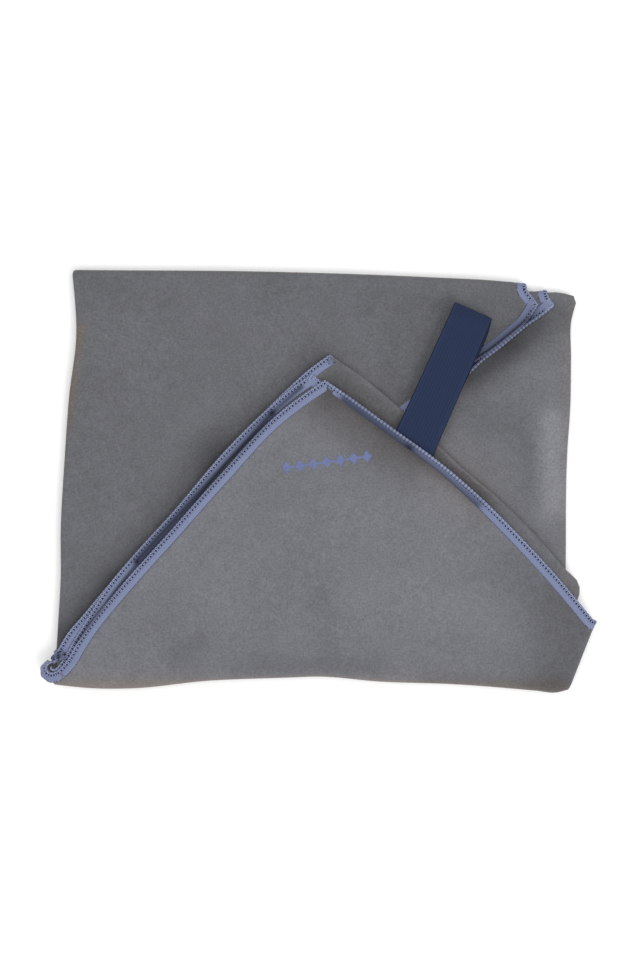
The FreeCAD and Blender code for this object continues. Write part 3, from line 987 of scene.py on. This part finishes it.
def speckled_material(name, colour, scale, speckle, roughness):
    """A colour broken up by fine speckle and relief."""
    material, nodes, links, shader = new_material(name)
    grain = noise(nodes, links, scale, 3)
    factor = around_one(nodes, links, grain, speckle)
    links.new(tinted(nodes, links, colour, factor), shader.inputs["Base Color"])
    shader.inputs["Roughness"].default_value = roughness
    add_bump(nodes, links, shader, grain, *FINE_BUMP)
    return material


def plain_material(name, colour, roughness):
    """One flat colour."""
    material, _, _, shader = new_material(name)
    shader.inputs["Base Color"].default_value = (*colour, 1)
    shader.inputs["Roughness"].default_value = roughness
    return material


# ---- room

def build_floor():
    """A plain pale floor."""
    bpy.ops.mesh.primitive_plane_add(size=FLOOR_SIZE)
    floor = bpy.context.object
    floor.name = "floor"
    floor.data.materials.append(plain_material("floor_white", FLOOR_COLOUR, 0.9))


def build_lights():
    """A white surround and two soft lamps above the towel."""
    world = bpy.data.worlds.new("studio")
    bpy.context.scene.world = world
    world.use_nodes = True
    background = world.node_tree.nodes["Background"]
    background.inputs["Color"].default_value = (1, 1, 1, 1)
    background.inputs["Strength"].default_value = WORLD_LIGHT
    for name, place, size, power in LAMPS:
        light = bpy.data.lights.new(name, "AREA")
        light.size = size
        light.energy = power
        lamp = bpy.data.objects.new(name, light)
        lamp.location = place
        lamp.rotation_euler = (-Vector(place)).to_track_quat("-Z", "Y").to_euler()
        bpy.context.scene.collection.objects.link(lamp)


def build_camera():
    """The camera, straight above the towel."""
    camera = bpy.data.cameras.new("camera")
    camera.lens = CAMERA_LENS
    camera.sensor_width = SENSOR_WIDTH
    holder = bpy.data.objects.new("camera", camera)
    holder.location = (0, 0, CAMERA_HEIGHT)
    bpy.context.scene.collection.objects.link(holder)
    bpy.context.scene.camera = holder
    bpy.context.scene.view_settings.view_transform = "Standard"


# ---- assembly

def main():
    """Builds the towel and the room, hangs the stack's cloth and edging, the flap's edging and the print on
    their bodies, and hides imported parts.
    """
    shape = folded_shape()
    cloth = cloth_material()
    threads = [thread_material("satin_thread", SATIN_COLOUR, 0.2, 0.6),
               speckled_material("edge_core", CORE_SHADE_COLOUR, 1900, 0.3, 0.9),
               thread_material("purl_thread", LOOP_COLOUR, 0.10, 0.6)]
    stack_cloth = cloth_object("towel_stack_cloth", stack_patches(shape["stack"]), cloth)
    flap_cloth = cloth_object("towel_flap_cloth", flap_patches(shape), cloth)
    stack_edging = edging_object("towel_stack_edging", stack_edges(shape["stack"]), threads, STACK_SHADES,
                                 SHADED_ABOVE["stack"])
    flap_edging = edging_object("towel_flap_edging", flap_edges(shape), threads, FLAP_SHADES,
                                SHADED_ABOVE["flap"])
    strap = build_strap(elastic_material())
    flap_top = lifted(shape["flap"]["outer"])[FOLD_ROWS:].reshape(-1, 3)
    print_film = build_print(flap_top, speckled_material("print_ink", PRINT_COLOUR, 1100, 0.45, 0.75))
    build_floor()
    build_lights()
    build_camera()

    stack_nodes = frame["record"]["behaviour"]["bodies"]["folded_stack"]
    flap_nodes = frame["record"]["behaviour"]["bodies"]["flap"]
    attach(stack_cloth, "folded_stack")
    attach(stack_edging, "folded_stack")
    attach(flap_edging, "flap")
    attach(print_film, "flap")
    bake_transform(flap_cloth)
    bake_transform(strap)
    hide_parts(*[n for n in stack_nodes if "edging" not in n])
    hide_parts(*[n for n in stack_nodes if "edging" in n])
    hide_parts(*[n for n in flap_nodes if "layer" in n or "fold" in n])
    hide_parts(*[n for n in flap_nodes if "edging" in n])
    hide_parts("corner_print")
    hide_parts("hanging_loop")


main()
